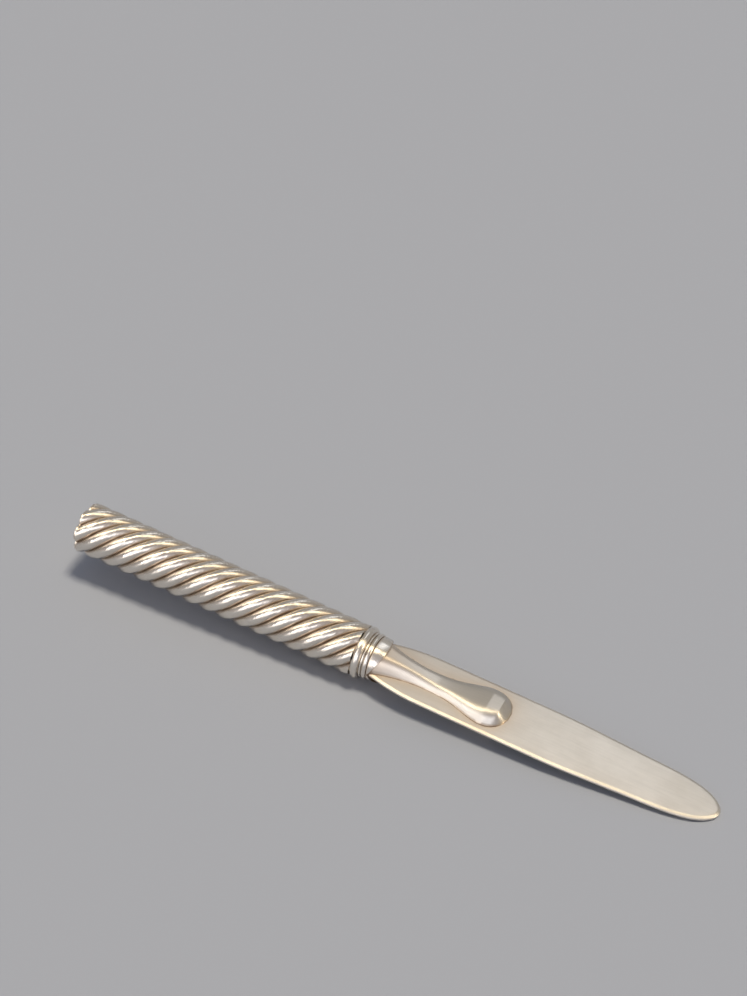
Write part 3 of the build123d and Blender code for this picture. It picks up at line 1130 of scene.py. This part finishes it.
class MakeStage(Operator):
    """Makes the pale floor, the soft lamps and the camera"""

    bl_idname = "opener.make_stage"
    bl_label = "Stage"

    def execute(self, context):
        extent = 4.0
        corners = [(-extent, -extent, 0), (extent, -extent, 0), (extent, extent, 0), (-extent, extent, 0)]
        mesh = bpy.data.meshes.new("pale_floor")
        mesh.from_pydata(corners, [], [(0, 1, 2, 3)])
        mesh.materials.append(floor_material())
        floor = new_object("pale_floor", mesh)

        soft_world()
        warm = (1.0, 0.95, 0.87)
        straw = (1.0, 0.86, 0.62)
        cool = (0.92, 0.95, 1.0)
        add_key((0.2, 0.1, 0.95), radians(12), 1.95, warm)
        add_panel("ceiling_near", (-0.25, -0.1, 0.82), (0.24, 0.75), 2.3, straw)
        add_panel("ceiling_far", (0.03, 0.53, 0.75), (0.22, 0.6), 0.47, cool)
        add_panel("ceiling_left", (-0.75, 0.05, 0.62), (0.3, 0.6), 1.7, straw)
        add_panel("ceiling_right", (0.44, 0.0, 0.72), (0.28, 0.6), 1.25, straw)
        add_panel("ceiling_end", (0.84, 0.04, 0.34), (0.25, 0.25), 1.5, straw)
        add_panel("ceiling_front", (-0.29, -0.58, 0.62), (0.3, 0.28), 0.4, warm)
        add_panel("window_left", (-0.48, -0.49, 0.32), (0.08, 0.28), 0.28, cool)
        add_panel("window_right", (0.04, -0.68, 0.32), (0.08, 0.28), 0.28, cool)
        add_panel("window_glow", (-0.3, -0.72, 0.28), (0.6, 0.5), 1.15, warm)
        add_panel("window_corner", (0.36, -0.73, 0.27), (0.3, 0.4), 0.62, cool)

        size = sizes("stage")
        data = bpy.data.cameras.new("viewer")
        data.lens = size.camera_lens
        camera = new_object("viewer", data)
        camera.location = size.camera_place
        camera.rotation_euler = (pi / 2 - size.camera_pitch, 0.0, size.camera_heading)
        context.scene.camera = camera
        context.scene.view_settings.view_transform = "Standard"
        return {"FINISHED"}


class OpenerPanel(Panel):
    """Lists the steps that dress the opener, and its sizes"""

    bl_idname = "VIEW3D_PT_letter_opener"
    bl_label = "Letter opener"
    bl_space_type = "VIEW_3D"
    bl_region_type = "UI"
    bl_category = "Letter opener"

    def draw(self, context):
        for step in STEPS:
            self.layout.operator(step.bl_idname)
        for name in GROUPS:
            group = sizes(name)
            box = self.layout.box()
            for label in group.bl_rna.properties.keys():
                if label not in ("name", "rna_type"):
                    box.prop(group, label)


STEPS = (MakeBlade, MakeBolsters, MakeCollar, MakeHandle, MakeButtCap, MakeStage)
GROUPS = {
    "handle": HandleSizes,
    "collar": CollarSizes,
    "bolster": BolsterSizes,
    "blade": BladeSizes,
    "finish": Finish,
    "stage": StageSizes,
}


def register():
    for group in GROUPS.values():
        bpy.utils.register_class(group)
    for name, group in GROUPS.items():
        setattr(bpy.types.Scene, "opener_" + name, PointerProperty(type=group))
    for step in STEPS:
        bpy.utils.register_class(step)
    bpy.utils.register_class(OpenerPanel)


def unregister():
    bpy.utils.unregister_class(OpenerPanel)
    for step in reversed(STEPS):
        bpy.utils.unregister_class(step)
    for name, group in GROUPS.items():
        delattr(bpy.types.Scene, "opener_" + name)
        bpy.utils.unregister_class(group)


def main():
    register()
    bpy.ops.opener.make_blade()
    bpy.ops.opener.make_bolsters()
    bpy.ops.opener.make_collar()
    bpy.ops.opener.make_handle()
    bpy.ops.opener.make_butt_cap()
    bpy.ops.opener.make_stage()


if __name__ == "__main__":
    main()
